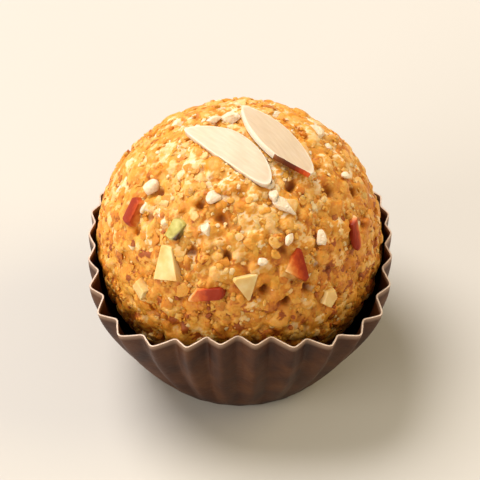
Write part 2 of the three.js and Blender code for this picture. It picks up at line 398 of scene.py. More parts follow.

# %% [markdown]
# ### Pressed crumb
#
# Crushed puffed seed and nut in melted jaggery and ghee. Each crumb keeps one tone, which is stored on its
# points: from toasted through gold to the cream of puffed seed. A fine noise over that makes the inside of a
# crumb uneven, and the colour is painted paler towards the top and darker low down: painted light and shade.
# In the gaps the paste shows, a deep gold, and the skin is painted darker the deeper it lies: painted shade
# in the gaps and pits. The whole is a little greasy, and light goes up to a millimetre into it and comes out
# warm.

# %% Pressed crumb
CRUMB_STOPS = {0.0: 0x9A4A10, 0.12: 0xC8761E, 0.36: 0xDA902A, 0.6: 0xE4A648, 0.82: 0xEFC58A, 1.0: 0xF6DDC0}
PAINTED_SHADE_BELOW = 0.024  # height in metres below which the crumb is painted darker, as painted shade
PAINTED_LIGHT_ABOVE = 0.04
PAINTED_SHADE_SHIFT = -0.13
PAINTED_LIGHT_SHIFT = 0.16


def crumb_colour(tree, place):
    """The colour of a crumb by its tone, uneven at a scale of 0.8 mm, with painted light at the top and
    painted shade low down.
    """
    uneven = added(tree, stored(tree, "tone"), centred(tree, noise_at(tree, place, 1300.0, 3.0), 0.44))
    height = add_node(tree, "ShaderNodeSeparateXYZ", {0: place}).outputs["Z"]
    # painted light and shade: the tone is shifted paler towards the top of the ball and darker towards its
    # bottom
    painted_light_by_height = ranged(tree, height, PAINTED_SHADE_BELOW, PAINTED_LIGHT_ABOVE, PAINTED_SHADE_SHIFT, PAINTED_LIGHT_SHIFT)
    return ramp_of(tree, added(tree, uneven, painted_light_by_height), CRUMB_STOPS)


def crumb_relief(tree, place):
    return relief(tree, noise_at(tree, place, 3200.0, 5.0), 0.6, 0.0002)


def pressed_crumb():
    material, tree = new_material("pressed_crumb_and_jaggery")
    place = place_on(tree)
    with_paste = blended(tree, stored(tree, "paste"), crumb_colour(tree, place), 0xCE822A)
    # painted shade: the skin is painted darker the deeper it lies, in the gaps between crags and in the pits
    painted_shade_by_depth = ranged(tree, stored(tree, "depth"), 0.8, 2.2, 0.0, 0.95)
    finish_material(tree, {
        "Base Color": blended(tree, painted_shade_by_depth, with_paste, 0x843A06), "Normal": crumb_relief(tree, place),
        "Roughness": 0.5, "IOR": 1.42, **scattering(0.4, (1.0, 0.55, 0.25), 0.0009),
    })
    return material


def ghee_coated_crumb(name):
    material, tree = new_material(name)
    place = place_on(tree)
    finish_material(tree, {
        "Base Color": crumb_colour(tree, place), "Normal": crumb_relief(tree, place), "Roughness": 0.48,
        "IOR": 1.42, **scattering(0.4, (1.0, 0.6, 0.3), 0.0009),
    })
    return material


# %% [markdown]
# ## The ball
#
# ### One crumb
#
# A crumb could be a sphere pushed about by noise, but broken seed and nut have flat faces and edges. So each
# shape starts as a low ico sphere, is roughened, and is then cut flat by a few planes. A handful of such
# shapes, turned and stretched at random, is enough that the eye finds no copies.


# %% Points, selection and modifiers
def points_of(mesh):
    points = np.empty(len(mesh.vertices) * 3)
    mesh.vertices.foreach_get("co", points)
    return points.reshape(-1, 3)


def put_points(mesh, points):
    mesh.vertices.foreach_set("co", points.ravel())


def put_attribute(mesh, name, values):
    mesh.attributes.new(name, "FLOAT", "POINT").data.foreach_set("value", values.astype(np.float32))


def arrays_of(mesh):
    return points_of(mesh), np.array([tuple(face.vertices) for face in mesh.polygons])


def make_active(piece):
    deselect_all()
    piece.select_set(True)
    bpy.context.view_layer.objects.active = piece


def edit_all():
    bpy.ops.object.mode_set(mode="EDIT")
    bpy.ops.mesh.select_all(action="SELECT")


def modify(piece, name, kind, **settings):
    """Adds a modifier to the active piece and applies it."""
    modifier = piece.modifiers.new(name, kind)
    for field, value in settings.items():
        setattr(modifier, field, value)
    bpy.ops.object.modifier_apply(modifier=name)


# %% Chopped shapes
LUMP_FINEST = 0.02  # shortest edge of a shape, for its size of 1
CUT_STRAY = 0.9  # how far the cuts stray from being evenly spread


def chopped_shape(detail, cuts, roughen, depth, seed):
    """A lump, cut flat across some directions, in a box of 1 x 1 x 1: its points and triangles as arrays."""
    deselect_all()
    bpy.ops.mesh.primitive_ico_sphere_add(subdivisions=detail, radius=0.5)
    lump = bpy.context.object
    edit_all()
    bpy.ops.transform.vertex_random(offset=roughen, seed=seed)
    for normal in cuts / np.linalg.norm(cuts, axis=1, keepdims=True):
        bpy.ops.mesh.select_all(action="SELECT")
        plane = normal * 0.5 * (1 - depth)
        bpy.ops.mesh.bisect(plane_co=plane, plane_no=normal, use_fill=True, clear_outer=True)
    bpy.ops.mesh.select_all(action="SELECT")
    bpy.ops.mesh.remove_doubles(threshold=LUMP_FINEST)
    bpy.ops.mesh.quads_convert_to_tris()
    bpy.ops.mesh.normals_make_consistent(inside=False)
    bpy.ops.object.mode_set(mode="OBJECT")
    points, faces = arrays_of(lump.data)
    bpy.data.meshes.remove(lump.data)
    low = points.min(axis=0)
    high = points.max(axis=0)
    return (points - (low + high) / 2) / (high - low), faces


def random_cuts(count, seed):
    return spread_directions(count, CUT_STRAY, 31 * seed)


COARSE_SHAPES = [chopped_shape(2, random_cuts(5, seed), 0.05, 0.36, seed) for seed in range(1, 8)]
FINE_SHAPES = [chopped_shape(1, random_cuts(4, seed), 0.07, 0.3, seed) for seed in range(11, 17)]
GRAIN_SHAPES = [chopped_shape(1, random_cuts(1, seed), 0.12, 0.3, seed) for seed in range(21, 26)]
for sort, shapes in (("coarse", COARSE_SHAPES), ("fine", FINE_SHAPES), ("grain", GRAIN_SHAPES)):
    print(sort, "shapes with", [len(faces) for _, faces in shapes], "faces")

# %% [markdown]
# ### Room for the almond slices
#
# The slices were pressed into the crumb while it was soft, so whatever lies under a slice has to end at its
# underside. Each slice is a flat outline with a place on the ball: its x runs from its point to its blunt
# end, and its z out of the ball.


# %% The almond slices as places
def slice_place(spec):
    """The matrix of a slice, in mm, and its length."""
    start = direction_to(*spec["start"])
    end = direction_to(*spec["end"])
    length = (start - end).length * BALL_RADIUS
    out = (start + end).normalized()
    along = (end - start).normalized()
    turn = Matrix((along, out.cross(along), out)).transposed()
    turn = turn @ Matrix.Rotation(-math.asin(spec["lift"] / length), 3, "Y")
    turn = turn @ Matrix.Rotation(-math.asin(spec["roll"] / spec["width"]), 3, "X")
    raised = (spec["lift"] + spec["roll"]) / 2 - SLICE_SUNK
    middle = out * (BALL_RADIUS - SLICE_THICKNESS / 2 + raised)
    middle.z = middle.z * BALL_SQUAT + BALL_MIDDLE
    return Matrix.Translation(middle) @ turn.to_4x4(), length


def taper(x):
    return 1 - SLICE_TAPER * np.clip(-x, 0, 1) ** 2


def moved(points, matrix):
    m = np.array(matrix)
    return points @ m[:3, :3].T + m[:3, 3]


def pressed_under_slices(points, gap):
    """Lowers the points (mm) that are inside a slice's outline to its underside."""
    for spec in SLICES.values():
        matrix, length = slice_place(spec)
        local = moved(points, matrix.inverted())
        x = local[:, 0] / (length / 2 + gap)
        y = (local[:, 1] - spec["bow"] * (1 - x * x)) / (spec["width"] / 2 + gap)
        inside = (x * x + (y / taper(x)) ** 2 < 1) & (x < 1 + spec["cut"] * np.minimum(0, y))
        under = -SLICE_THICKNESS / 2 - gap - local[:, 0] ** 2 / (2 * SLICE_BEND)
        lowered = inside & (local[:, 2] > under) & (local[:, 2] < 3)
        local[lowered, 2] = under[lowered]
        points = np.where(lowered[:, None], moved(local, matrix), points)
    return points


for name, spec in SLICES.items():
    print(name, "is", round(slice_place(spec)[1], 1), "mm long")

# %% [markdown]
# ### Pressing crumbs into a ball
#
# Each copy of a shape is placed on the ball with its own turn and size. Then the palm comes: whatever stands
# out past the crumb's own height limit is pressed back, so the crumbs get the flat outer faces of a rolled
# ball. The limits differ a little, which leaves one crumb over the next. The copies are worked out as arrays
# and joined in one mesh, because thousands of objects would be slow to handle.


# %% Placing and joining copies
PRESSED_BACK = 0.84  # of what stands out past a crumb's limit
CRUMB_GAPS = (0.05, 0.15)  # mm between a crumb and a slice, and between a crumb and the case


def settled(heights):
    """Heights in a round ball as heights above the floor, in mm: it is squat, and rests on its flat."""
    return np.maximum(heights * BALL_SQUAT, -FLAT_DROP) + BALL_MIDDLE


def fitted(points, gaps):
    """Points (mm) that keep clear of the slices and the case."""
    return kept_in_case(pressed_under_slices(points, gaps[0]), gaps[1])


def random_directions(rng, count):
    d = rng.normal(size=(count, 3))
    return d / np.linalg.norm(d, axis=1, keepdims=True)


def turns_to(z_axes, x_hints):
    """Rotation matrices with z along the first directions and x as near as can be to the second ones."""
    x = x_hints - z_axes * np.sum(x_hints * z_axes, axis=1, keepdims=True)
    x /= np.linalg.norm(x, axis=1, keepdims=True)
    return np.stack([x, np.cross(z_axes, x), z_axes], axis=2)


def pressed_copies(shapes, which, places, turns, sizes, limits):
    """Copies of the shapes round the middle of the ball, pressed back to their limits and into the case:
    points in mm, triangles, the number of the copy that each point belongs to, and its place in the shape."""
    all_points = []
    all_faces = []
    owners = []
    in_shape = []
    offset = 0
    for k, (points, faces) in enumerate(shapes):
        mine = np.flatnonzero(which == k)
        placed = np.einsum("nij,nvj->nvi", turns[mine], points[None] * sizes[mine][:, None, :])
        placed += places[mine][:, None, :]
        radius = np.linalg.norm(placed, axis=2)
        over = np.maximum(0, radius - limits[mine][:, None])
        placed *= ((radius - PRESSED_BACK * over) / radius)[..., None]
        starts = offset + np.arange(len(mine)) * len(points)
        all_points.append(placed.reshape(-1, 3))
        all_faces.append((faces[None] + starts[:, None, None]).reshape(-1, 3))
        owners.append(np.repeat(mine, len(points)))
        in_shape.append(np.tile(points, (len(mine), 1)))
        offset += len(mine) * len(points)
    points = np.concatenate(all_points)
    points[:, 2] = settled(points[:, 2])
    points = fitted(points, CRUMB_GAPS)
    return points, np.concatenate(all_faces), np.concatenate(owners), np.concatenate(in_shape)


def joined_piece(name, points, faces, attributes):
    """A mesh object from arrays in mm, with its point attributes."""
    mesh = bpy.data.meshes.new(name)
    mesh.from_pydata((points * MM).tolist(), [], faces.tolist())
    for attribute, values in attributes.items():
        put_attribute(mesh, attribute, values)
    return new_object(name, mesh)


def finish_piece(piece, materials, node, smooth_angle):
    """Shades a piece, attaches it to the root body, and hides the solid that it stands for."""
    for material in materials:
        piece.data.materials.append(material)
    make_active(piece)
    bpy.ops.object.shade_smooth_by_angle(angle=math.radians(smooth_angle))
    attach(piece, "root")
    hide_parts(node)
    triangles = sum(len(face.vertices) - 2 for face in piece.data.polygons)
    print(piece.name, "has", triangles, "triangles")


# %% [markdown]
# ### Crags
#
# The palm leaves slow swells, and the mixture breaks into crags a few millimetres across, with gaps between
# them. The solid has the same crags, a little deeper. A crag is the ground nearest to its own point, with its
# own height, and falls off towards the gap that it shares with the next one. A KD tree finds the two nearest
# points quickly. Here and there the skin sinks in a pit, most often beside a nut; as the skin is painted
# darker the deeper it lies, a pit shows as a dark spot of painted shade.

# %% The relief of the ball
ROLLED_UNEVEN = 0.22
CRAG_SPACING = 3.6
CRAG_DEPTH = 0.75
GAP_WIDTH = 1.5
CRAG_COUNT = round(4 * math.pi * BALL_RADIUS**2 / CRAG_SPACING**2)
CRAG_HEIGHTS = 0.5 + 0.5 * draw(5000 + np.arange(CRAG_COUNT))


def tree_of(points):
    tree = KDTree(len(points))
    for i, point in enumerate(points):
        tree.insert(point, i)
    tree.balance()
    return tree


CRAGS = tree_of(spread_directions(CRAG_COUNT, 0.8, 11))
PIT_PLACES = [
    (-11.5, 6.7), (-5.6, 4.7), (-2.7, 2.9), (-14.6, 0.4), (3.4, -7.2), (9.3, -7.1), (5.9, -1.6),
    (7.2, 7.6), (0.7, -4.5), (-7.9, -8.4), (16.2, 6.6), (-12.8, 3.2), (6.5, -8.8), (-1.8, -2.3),
    (12.6, 6.8), (-6.6, -1.9),
]
PITS = np.array([direction_to(*place) for place in PIT_PLACES])
PIT_WIDTH = 1.8
PIT_DEPTH = 1.5


def away_from_pits(directions):
    """The distance in mm from each direction's place on the ball to the middle of the nearest pit."""
    return np.min(np.linalg.norm(directions[:, None] - PITS[None], axis=2), axis=1) * BALL_RADIUS


def pit(directions):
    """How deep the skin is sunk at each direction, in mm, in a pit."""
    return PIT_DEPTH * np.clip(1 - (away_from_pits(directions) / (PIT_WIDTH / 2)) ** 2, 0, 1)


def skin_radius(directions):
    """The distance in mm from the ball's middle to its skin."""
    x, y, z = directions.T
    swell = np.sin(3.1 * x + 1.7 * z + 0.6) * np.cos(2.7 * y - 1.9 * z + 0.4)
    nearest = [CRAGS.find_n(direction, 2) for direction in directions]
    height = CRAG_HEIGHTS[[first[1] for first, _ in nearest]]
    ridge = np.array([second[2] - first[2] for first, second in nearest]) * BALL_RADIUS / GAP_WIDTH
    ridge = np.clip(ridge, 0, 1)
    crag = height * ridge**2 * (3 - 2 * ridge)
    return BALL_RADIUS - ROLLED_UNEVEN * (1 + swell) - CRAG_DEPTH * (1 - crag) - pit(directions)


print(CRAG_COUNT, "crags")

# %% [markdown]
# ### Where the nuts lie
#
# Cashew, almond in its skin, pistachio and bits of whole makhana stand out of the crumb. Those on the front
# lie where the photograph has them, and some differ a little from the solid's in size or turn. A few are too
# small for the solid. The rest are spread in turn. Their places are settled before the crumb's, because
# crumbs may lap over a nut's edge but not lie on it.

# %% Where the nuts lie
FRONT_BITS = [
    ("almond", -14.9, 3.8, 4.4, 2.9, 65), ("almond", -4.7, -7.7, 5.6, 2.2, 12),
    ("almond", 7.6, -4.0, 5.4, 3.7, 110), ("almond", 15.9, 0.7, 5.0, 1.2, 111),
    ("cashew", -10.2, -3.4, 5.8, 4.9, 85), ("cashew", -13.7, -7.1, 3.4, 2.6, 120),
    ("cashew", 0.9, -6.8, 4.4, 3.9, -82), ("cashew", 12.4, -8.2, 3.4, 2.5, 80),
    ("pistachio", -8.8, 1.3, 3.4, 3.3, 80), ("makhana", -12.4, 7.4, 2.4, 2.2, 40),
    ("makhana", -3.7, 5.9, 2.2, 1.9, 20), ("makhana", 6.2, 4.6, 3.8, 1.8, 145),
    ("makhana", -1.4, 17.1, 3.0, 2.2, 170), ("makhana", 10.6, 15.2, 2.6, 2.2, 140),
]
SMALL_BITS = [
    ("makhana", 3.7, 8.0, 2.4, 1.6, 130), ("makhana", 4.7, 5.9, 2.0, 1.4, 100),
    ("makhana", 6.7, 0.0, 1.9, 1.1, 60), ("makhana", 11.2, 0.2, 2.3, 1.5, 100),
    ("makhana", 14.6, 8.8, 1.7, 1.1, 20), ("makhana", -4.6, 1.3, 1.9, 1.5, 110),
    ("makhana", -3.6, 16.6, 2.2, 1.2, 190), ("makhana", 3.1, -3.1, 1.4, 1.1, 0),
]
SPREAD_BITS = 70
FRONT_ANGLE = math.radians(68)  # from the middle of the front to the first of the spread bits
OUTLINE_ANGLE = math.radians(102)  # up to here they may show on the ball's outline, so they are pale
KINDS = ["cashew", "almond", "makhana", "cashew", "almond", "makhana", "almond", "cashew", "pistachio"]
PALE_KINDS = ["cashew", "makhana"]
SIZES = {"cashew": (4.6, 3.7), "almond": (5.0, 2.7), "makhana": (3.0, 2.4), "pistachio": (3.2, 2.5)}
BIT_PROUD = 0.35
OUTLINE_PROUD = -0.45  # a bit on the outline lies under the crumb's skin, or it would break the ball's edge
BIT_FLATNESS = 0.9
NUT_MARGIN = 0.55  # of a nut's outline that is kept clear: crumbs lap over its edge


def bit_places():
    """For each kind and bit: its direction, the turn of its long side from level, and in mm its length, its
    width and how far it stands out of the ball."""
    bits = {kind: [] for kind in SIZES}
    for kind, across, up, long, wide, turn in FRONT_BITS + SMALL_BITS:
        bits[kind].append((direction_to(across, up), math.radians(turn), long, wide, BIT_PROUD))
    for i, d in enumerate(spread_directions(SPREAD_BITS, 0.5, 300)):
        height = BALL_MIDDLE + d[2] * BALL_RADIUS * BALL_SQUAT
        from_front = Vector(d).angle(TO_VIEWER)
        if height < CASE_HEIGHT + 1 or from_front < FRONT_ANGLE:
            continue
        kinds = PALE_KINDS if from_front < OUTLINE_ANGLE else KINDS
        kind = kinds[i % len(kinds)]
        scale = 0.8 + 0.5 * draw(900 + i)
        long, wide = SIZES[kind]
        proud = OUTLINE_PROUD if from_front < OUTLINE_ANGLE else BIT_PROUD
        bits[kind].append((Vector(d), draw(950 + i) * math.pi, long * scale, wide * scale, proud))
    return bits


BITS = bit_places()
print({kind: len(places) for kind, places in BITS.items()})


def clear_of_nuts(directions):
    """Which directions miss the outline of every nut that stands out of the crumb."""
    clear = np.ones(len(directions), dtype=bool)
    for direction, turn, long, wide, proud in (bit for bits in BITS.values() for bit in bits):
        across = direction.cross(turned_from_level(turn)).normalized()
        along = across.cross(direction)
        x = directions @ along * BALL_RADIUS / (long / 2)
        y = directions @ across * BALL_RADIUS / (wide / 2)
        over = (x * x + y * y < NUT_MARGIN) & (directions @ direction > 0)
        clear &= ~(over & (proud > 0))
    return clear


# %% [markdown]
# ### The fused body
#
# In the real ball the crumbs are stuck together: paste fills most of the gaps, and one crumb runs into the
# next. Loose copies alone would look like a heap of beads. So the larger crumbs are joined with a ball of
# paste, and a Remesh modifier in voxel mode draws one skin over it all. A Smooth modifier rounds the places
# where they meet just as melted jaggery does, and bubbles that the remesh leaves inside are deleted. Each
# point of that skin then takes the tone of the crumb nearest to it.

# %% Crumbs as arrays
LOWEST_CRUMB = 6.0  # mm above the floor: deeper in the case there is only paste
TOASTED_SHARE = 0.02
TOASTED_TONE = 0.04
PIT_MARGIN = 0.3  # of a crumb's smallest size: how far its middle stays away from the edge of a pit


def crumb_arrays(shapes, count, size, depth, limit, seed):
    """Crumbs of a range of sizes, with their middles at a range of depths, pressed to a range of limits:
    points in mm, triangles, and the tone of each point."""
    rng = np.random.default_rng(seed)
    directions = spread_directions(count, 1.1, seed * 1000)
    directions = directions[directions[:, 2] * BALL_RADIUS + BALL_MIDDLE > LOWEST_CRUMB]
    room = PIT_WIDTH / 2 + PIT_MARGIN * size[0]
    directions = directions[clear_of_nuts(directions) & (away_from_pits(directions) > room)]
    n = len(directions)
    skin = skin_radius(directions)
    places = directions * (skin - rng.uniform(*depth, n))[:, None]
    turns = turns_to(random_directions(rng, n), random_directions(rng, n))
    sizes = rng.uniform(*size, n)[:, None] * rng.uniform(0.65, 1.3, (n, 3))
    limits = np.minimum(skin + rng.uniform(*limit, n), BALL_RADIUS)
    which = rng.integers(0, len(shapes), n)
    tones = np.where(rng.uniform(size=n) < TOASTED_SHARE, TOASTED_TONE, rng.beta(2.2, 2.2, n))
    points, faces, owners, _ = pressed_copies(shapes, which, places, turns, sizes, limits)
    return points, faces, tones[owners]


# %% Paste and crumbs under one skin
PASTE_DEPTH = 0.3  # of the paste under the ball's skin, in mm
VOXEL = 0.29
SKIN_GAPS = (0.1, 0.2)  # as for a crumb, but wider, so that loose crumb lies in front of the skin
MELTING = 0.4  # how strongly the jaggery rounds the skin, from 0 to 1
MELTING_ROUNDS = 3
TONE_REACH = 0.34  # how far from a crumb its tone still shows, in mm


def fused_body():
    layers = [
        crumb_arrays(COARSE_SHAPES, 720, (1.6, 3.0), (0.3, 1.0), (-0.1, 0.35), 3),
        crumb_arrays(FINE_SHAPES, 3600, (0.9, 1.7), (0.0, 0.5), (-0.1, 0.3), 4),
    ]
    deselect_all()
    bpy.ops.mesh.primitive_ico_sphere_add(subdivisions=6, radius=BALL_RADIUS)
    body = bpy.context.object
    body.name = "pressed_crumb_body"
    core_points, core_faces = arrays_of(body.data)
    core_points /= np.linalg.norm(core_points, axis=1, keepdims=True)
    core_points *= (skin_radius(core_points) - PASTE_DEPTH)[:, None]
    core_points[:, 2] = settled(core_points[:, 2])
    all_points = [core_points]
    all_faces = [core_faces]
    for points, faces, _ in layers:
        all_faces.append(faces + sum(len(part) for part in all_points))
        all_points.append(points)
    together = np.concatenate(all_points) * MM
    body.data.clear_geometry()
    body.data.from_pydata(together.tolist(), [], np.concatenate(all_faces).tolist())
    modify(body, "one_skin", "REMESH", mode="VOXEL", voxel_size=VOXEL * MM)
    modify(body, "melted_together", "SMOOTH", factor=MELTING, iterations=MELTING_ROUNDS)
    keep_outer_skin(body)

    skin = fitted(points_of(body.data) / MM, SKIN_GAPS)
    skin[:, 2] = np.maximum(skin[:, 2], BALL_MIDDLE - FLAT_DROP)
    put_points(body.data, skin * MM)
    crumb_points = np.concatenate([points for points, _, _ in layers])
    crumb_tones = np.concatenate([tones for _, _, tones in layers])
    tone, away = nearest_tone(skin, crumb_points, crumb_tones)
    put_attribute(body.data, "tone", tone)
    put_attribute(body.data, "paste", np.clip((away - TONE_REACH) / TONE_REACH, 0, 1))
    from_middle = (skin - (0, 0, BALL_MIDDLE)) / (1, 1, BALL_SQUAT)
    put_attribute(body.data, "depth", BALL_RADIUS - np.linalg.norm(from_middle, axis=1))
    return body


def keep_outer_skin(piece):
    """Deletes what isn't linked to the topmost point: bubbles that the remesh leaves inside."""
    top = max(piece.data.vertices, key=lambda vertex: vertex.co.z).index
    bpy.ops.object.mode_set(mode="EDIT")
    bpy.ops.mesh.select_mode(type="VERT")
    bpy.ops.mesh.select_all(action="DESELECT")
    bpy.ops.object.mode_set(mode="OBJECT")
    piece.data.vertices[top].select = True
    bpy.ops.object.mode_set(mode="EDIT")
    bpy.ops.mesh.select_linked()
    bpy.ops.mesh.select_all(action="INVERT")
    bpy.ops.mesh.delete(type="VERT")
    bpy.ops.object.mode_set(mode="OBJECT")


def nearest_tone(points, crumb_points, tones):
    """The tone of the crumb point nearest to each point, and how far away it is."""
    tree = tree_of(crumb_points)
    found = [tree.find(co) for co in points]
    return tones[[index for _, index, _ in found]], np.array([away for _, _, away in found])


finish_piece(fused_body(), [pressed_crumb()], "ladoo", 180)

# %% [markdown]
# ### Loose crumb on the skin
#
# The skin is soft at its edges, so sharper crumbs are set into it: chips of nut that keep their cut faces,
# and fines that stick to the grease.

# %% Chips and fines
crumb = ghee_coated_crumb("crushed_makhana_and_nut")


def loose_crumb(name, *layer):
    points, faces, tones = crumb_arrays(*layer)
    finish_piece(joined_piece(name, points, faces, {"tone": tones}), [crumb], "ladoo", 40)


loose_crumb("nut_chips", COARSE_SHAPES, 420, (1.3, 2.4), (0.3, 0.7), (-0.1, 0.2), 7)
loose_crumb("middle_crumb", FINE_SHAPES, 2400, (0.8, 1.5), (0.1, 0.4), (-0.1, 0.15), 8)
loose_crumb("fine_crumb", GRAIN_SHAPES, 4200, (0.4, 0.9), (0.05, 0.3), (-0.1, 0.15), 9)
loose_crumb("crumb_dust", GRAIN_SHAPES, 4200, (0.25, 0.6), (0.0, 0.2), (-0.1, 0.15), 10)

# %% [markdown]
# ## The chopped nuts
#
# They are 3 to 6 mm long, so each sort gets its own shapes with more faces than a crumb has. A nut is
# chopped across its sides at a few angles and keeps a part of its round outside, so that is how the shapes
# are made, and a Bevel modifier takes the edge off their cuts.


# %% Shapes of chopped nut
def unit(degrees):
    """The direction at an angle from a nut's long side, seen from above it."""
    return math.cos(math.radians(degrees)), math.sin(math.radians(degrees))


NUT_BEVEL = 0.06  # as a part of the nut's size, like the two after it
NUT_FINEST = 0.003  # shortest edge that the bevel may leave
NUT_SLIVER = 0.001


def chopped_nut(cuts, roughen, depth, seed):
    """A chopped shape in a box of 1 x 1 x 1 whose cut edges are softened."""
    points, faces = chopped_shape(3, cuts, roughen, depth, seed)
    mesh = bpy.data.meshes.new("nut")
    mesh.from_pydata(points.tolist(), [], faces.tolist())
    nut = new_object("nut", mesh)
    make_active(nut)
    edit_all()
    bpy.ops.mesh.dissolve_limited(angle_limit=math.radians(4))
    bpy.ops.object.mode_set(mode="OBJECT")
    modify(nut, "soft_edges", "BEVEL", width=NUT_BEVEL, segments=2, angle_limit=math.radians(25))
    edit_all()
    bpy.ops.mesh.remove_doubles(threshold=NUT_FINEST)
    bpy.ops.mesh.quads_convert_to_tris()
    bpy.ops.mesh.dissolve_degenerate(threshold=NUT_SLIVER)
    bpy.ops.mesh.quads_convert_to_tris()
    bpy.ops.mesh.normals_make_consistent(inside=False)
    bpy.ops.object.mode_set(mode="OBJECT")
    shape = arrays_of(mesh)
    bpy.data.meshes.remove(mesh)
    return shape


def cut_across(*angles):
    """Planes across a nut's sides, at angles in degrees from its long side, and across its top and bottom."""
    return np.array([(*unit(angle), 0.15) for angle in angles] + [(0.1, 0.12, 1), (0, 0, -1)])


NUT_CUTS = {
    "cashew": [(75, -75, 180), (10, 100, 200, 290), (62, -58, 180), (20, 95, 170, 250, 320)],
    "almond": [(84, -96), (86, -94, 150), (-90, 38, 142), (88, -92, 20)],
    "pistachio": [(75, -110)],
}
NUT_SHAPES = {
    kind: [chopped_nut(cut_across(*angles), 0.014, 0.44, 41 + number) for number, angles in enumerate(cuts)]
    for kind, cuts in NUT_CUTS.items()
}
NUT_SHAPES["makhana"] = [chopped_nut(random_cuts(5, seed), 0.035, 0.3, seed) for seed in (71, 72, 73, 74)]
print({kind: [len(faces) for _, faces in shapes] for kind, shapes in NUT_SHAPES.items()})

# %% [markdown]
# ### Nut materials
#
# Raw cashew is waxy and pale yellow. Almond keeps its papery red-brown skin on the outside and is ivory where
# it was cut. Pistachio is yellow green with a trace of its purple skin. A bit of whole makhana is white foam:
# light scatters deep into it, and its surface is full of pores.


# %% The nuts' finishes
def waxy_cashew():
    material, tree = new_material("raw_cashew")
    place = place_on(tree)
    cloud = noise_at(tree, place, 500.0, 3.0)
    finish_material(tree, {
        "Base Color": ramp_of(tree, cloud, {0.3: 0xDFB064, 0.52: 0xE9C682, 0.75: 0xF2D8A2}),
        "Normal": relief(tree, noise_at(tree, place, 2500.0, 3.0), 0.3, 0.0001), "Roughness": 0.38,
        "IOR": 1.47, "Coat Weight": 0.2, "Coat Roughness": 0.2, **scattering(0.45, (1.0, 0.75, 0.4), 0.001),
    })
    return material


def almond_in_skin():
    material, tree = new_material("chopped_almond_in_its_skin")
    ridges = noise_at(tree, place_on(tree), 1300.0, 4.0)
    covered = ranged(tree, added(tree, stored(tree, "skin"), centred(tree, ridges, 0.5)), -0.45, 0.45)
    stops = {0.0: 0xF0CE98, 0.18: 0xE6AE6C, 0.32: 0xDA8438, 0.55: 0xC04C16, 0.8: 0x962A08}
    finish_material(tree, {
        "Base Color": ramp_of(tree, covered, stops), "Normal": relief(tree, ridges, 0.5, 0.00015),
        "Roughness": 0.45, "IOR": 1.38, **scattering(0.1, (1.0, 0.5, 0.2), 0.0005),
    })
    return material


def green_pistachio():
    material, tree = new_material("chopped_pistachio")
    cloud = noise_at(tree, place_on(tree), 900.0, 3.0)
    flesh = ramp_of(tree, cloud, {0.28: 0x96863A, 0.42: 0xB4A650, 0.6: 0xC6BC6C, 0.8: 0xDED398})
    covered = ranged(tree, stored(tree, "skin"), 0.28, 0.4)
    finish_material(tree, {
        "Base Color": blended(tree, covered, flesh, 0x4A2C1E), "Normal": relief(tree, cloud, 0.3, 0.0001),
        "Roughness": 0.4, "IOR": 1.47, "Coat Weight": 0.2, "Coat Roughness": 0.2,
        **scattering(0.25, (0.7, 0.8, 0.3), 0.0006),
    })
    return material


def puffed_makhana():
    material, tree = new_material("puffed_lotus_seed")
    place = place_on(tree)
    cloud = noise_at(tree, place, 800.0, 3.0)
    pores = add_node(tree, "ShaderNodeTexVoronoi", {"Vector": place, "Scale": 2600.0})
    finish_material(tree, {
        "Base Color": ramp_of(tree, cloud, {0.3: 0xE4C8A6, 0.55: 0xEED8BE, 0.8: 0xF6E7D6}),
        "Normal": relief(tree, pores, 0.6, 0.0002), "Roughness": 0.6, "IOR": 1.4,
        **scattering(0.5, (1.0, 0.85, 0.7), 0.001),
    })
    return material


NUT_MATERIALS = {
    "cashew": waxy_cashew(),
    "almond": almond_in_skin(),
    "pistachio": green_pistachio(),
    "makhana": puffed_makhana(),
}


# %% Set the nuts into the ball
SKIN_SIDES = {  # of a kind's first bits: degrees from the long side, and how far it faces out of the ball
    "almond": [(90, 1.2), (0, 0.4), (-90, 0.0), (90, 0.5)],
    "pistachio": [(-130, 0.3)],
}


def nut_pieces(kind, seed):
    rng = np.random.default_rng(seed)
    bits = BITS[kind]
    shapes = NUT_SHAPES[kind]
    known = SKIN_SIDES.get(kind, [])
    skins = []
    for i in range(len(bits)):
        side, outwards = known[i] if i < len(known) else (rng.uniform(0, 360), 0.3)
        skins.append((*unit(side), outwards))
    skins = np.array(skins) / np.linalg.norm(skins, axis=1, keepdims=True)
    directions = np.array([direction for direction, *_ in bits])
    turns = turns_to(directions, np.array([turned_from_level(turn) for _, turn, *_ in bits]))
    sizes = np.array([(long, wide, wide * BIT_FLATNESS) for _, _, long, wide, _ in bits])
    limits = BALL_RADIUS + np.array([proud for *_, proud in bits])
    places = directions * (limits[:, None] - sizes[:, 2:] / 2)
    which = np.arange(len(bits)) % len(shapes)
    points, faces, owners, in_shape = pressed_copies(shapes, which, places, turns, sizes, limits)
    skin = np.sum(in_shape * skins[owners], axis=1)
    piece = joined_piece(f"{kind}_bits", points, faces, {"skin": skin})
    finish_piece(piece, [NUT_MATERIALS[kind]], "ladoo", 35)


for number, kind in enumerate(BITS):
    nut_pieces(kind, 80 + number)

# %% [markdown]
# ## The almond slices
#
# Each slice was shaved from a blanched almond: a thin flake, pointed where the almond was, flat on both
# faces, with a square edge. It starts as a flat grid that is drawn into the outline of an almond. A slanting
# cut is made by bisect, Solidify gives the thickness, and Bevel takes the sharpness off the edge.

# %% The slices' finishes
FLAKE_BEVEL = 0.12
FLAKE_WAVE = 0.05  # in mm: a flake isn't quite flat
FLAKE_SUNK = 1.2  # in waves: the flake stays under the top of its solid
FLAKE_FINEST = 0.08  # shortest edge of a slice's grid, in mm: shorter ones would choke the bevel


